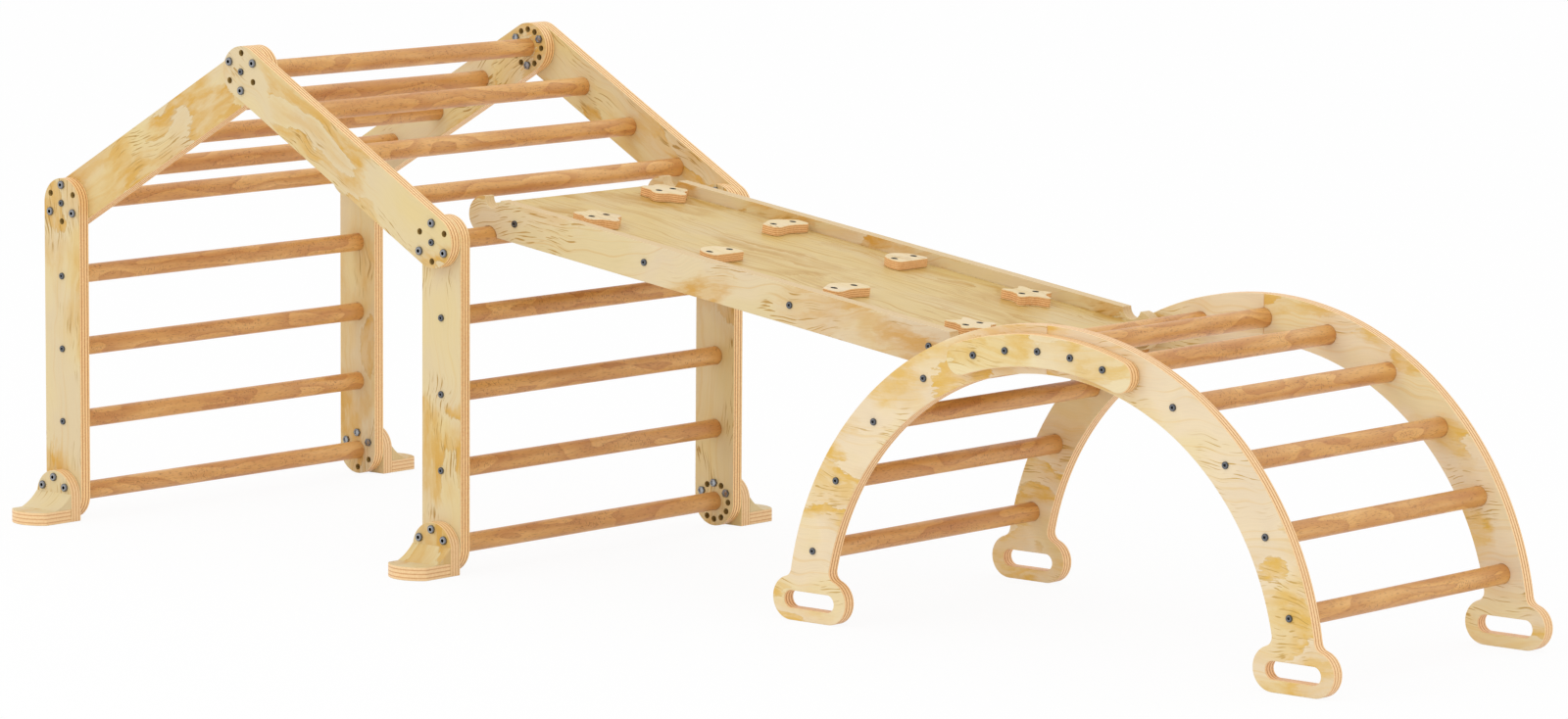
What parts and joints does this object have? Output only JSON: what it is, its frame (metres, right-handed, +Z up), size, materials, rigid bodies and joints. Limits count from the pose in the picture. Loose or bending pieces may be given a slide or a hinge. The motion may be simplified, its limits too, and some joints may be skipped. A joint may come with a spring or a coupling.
{
  "type": "indoor climbing frame",
  "caption": "Wooden play frame: a pitched-roof ladder house with adjustable pivots, a hook-on ramp with climbing holds and a round-topped rung arch.",
  "frame": {"origin": "on the floor, in the middle of the object's box in plan", "axes": "+X from the house to the arch, +Y away from the viewer along the rungs, +Z up from the floor"},
  "size_m": [2.1232, 0.7566, 0.668],
  "materials": {
    "ply": "clear satin varnish on birch-faced plywood with yellow figure",
    "beech": "turned beech dowel with a thin clear varnish",
    "steel": "zinc-plated screws and bolts, satin"
  },
  "bodies": {
    "right_wall": {"right_wall_post_near": "ply", "right_wall_post_far": "ply", "right_wall_rung_eave": "beech", "right_wall_rung_3": "beech", "right_wall_rung_2": "beech", "right_wall_rung_1": "beech", "right_wall_rung_bottom": "beech", "right_wall_foot_near": "ply", "right_wall_foot_far": "ply"},
    "roof_right": {"roof_right_rail_near": "ply", "roof_right_rail_far": "ply", "roof_right_rung_1": "beech", "roof_right_rung_2": "beech", "roof_right_rung_3": "beech"},
    "roof_left": {"roof_left_rail_near": "ply", "roof_left_rail_far": "ply", "roof_left_rung_ridge": "beech", "roof_left_rung_3": "beech", "roof_left_rung_2": "beech", "roof_left_rung_1": "beech", "roof_left_rung_eave": "beech"},
    "left_wall": {"left_wall_post_near": "ply", "left_wall_post_far": "ply", "left_wall_rung_3": "beech", "left_wall_rung_2": "beech", "left_wall_rung_1": "beech", "left_wall_rung_bottom": "beech", "left_wall_foot_near": "ply", "left_wall_foot_far": "ply"},
    "ramp": {"ramp_rail_near": "ply", "ramp_rail_far": "ply", "ramp_deck": "ply", "ramp_hold_near_cloud": "ply", "ramp_hold_near_block": "ply", "ramp_hold_near_wave": "ply", "ramp_hold_near_star": "ply", "ramp_hold_far_cloud": "ply", "ramp_hold_far_block": "ply", "ramp_hold_far_wave": "ply", "ramp_hold_far_star": "ply"},
    "arch": {"arch_rail_left_near": "ply", "arch_rail_left_far": "ply", "arch_rail_right_near": "ply", "arch_rail_right_far": "ply", "arch_joint_plate_near": "ply", "arch_joint_plate_far": "ply", "arch_rung_top": "beech", "arch_rung_left_1": "beech", "arch_rung_left_2": "beech", "arch_rung_left_3": "beech", "arch_rung_left_4": "beech", "arch_rung_left_5": "beech", "arch_rung_right_1": "beech", "arch_rung_right_2": "beech", "arch_rung_right_3": "beech", "arch_rung_right_4": "beech", "arch_rung_right_5": "beech"}
  },
  "joints": [
    {"name": "roof_fold", "type": "hinge", "parent": "right_wall", "child": "roof_right", "pos_m": [-0.33481, 0, 0.434], "axis": [0, 1, 0], "range_deg": [-30, 30]},
    {"name": "ridge_fold", "type": "hinge", "parent": "roof_right", "child": "roof_left", "pos_m": [-0.68122, 0, 0.634], "axis": [0, 1, 0], "range_deg": [-60, 60]},
    {"name": "left_eave_fold", "type": "hinge", "parent": "roof_left", "child": "left_wall", "pos_m": [-1.02763, 0, 0.434], "axis": [0, 1, 0], "range_deg": [-30, 30]},
    {"name": "ramp_lift", "type": "hinge", "parent": "right_wall", "child": "ramp", "pos_m": [-0.33481, 0, 0.434], "axis": [0, -1, 0], "range_deg": [0, 25]},
    {"name": "arch_shift", "type": "slide", "parent": "right_wall", "child": "arch", "axis": [0, 1, 0], "range_m": [-0.012, 0.038]}
  ],
  "couplings": [
    {"joint": "ridge_fold", "follows": "roof_fold", "ratio": -2},
    {"joint": "left_eave_fold", "follows": "roof_fold", "ratio": 1}
  ]
}
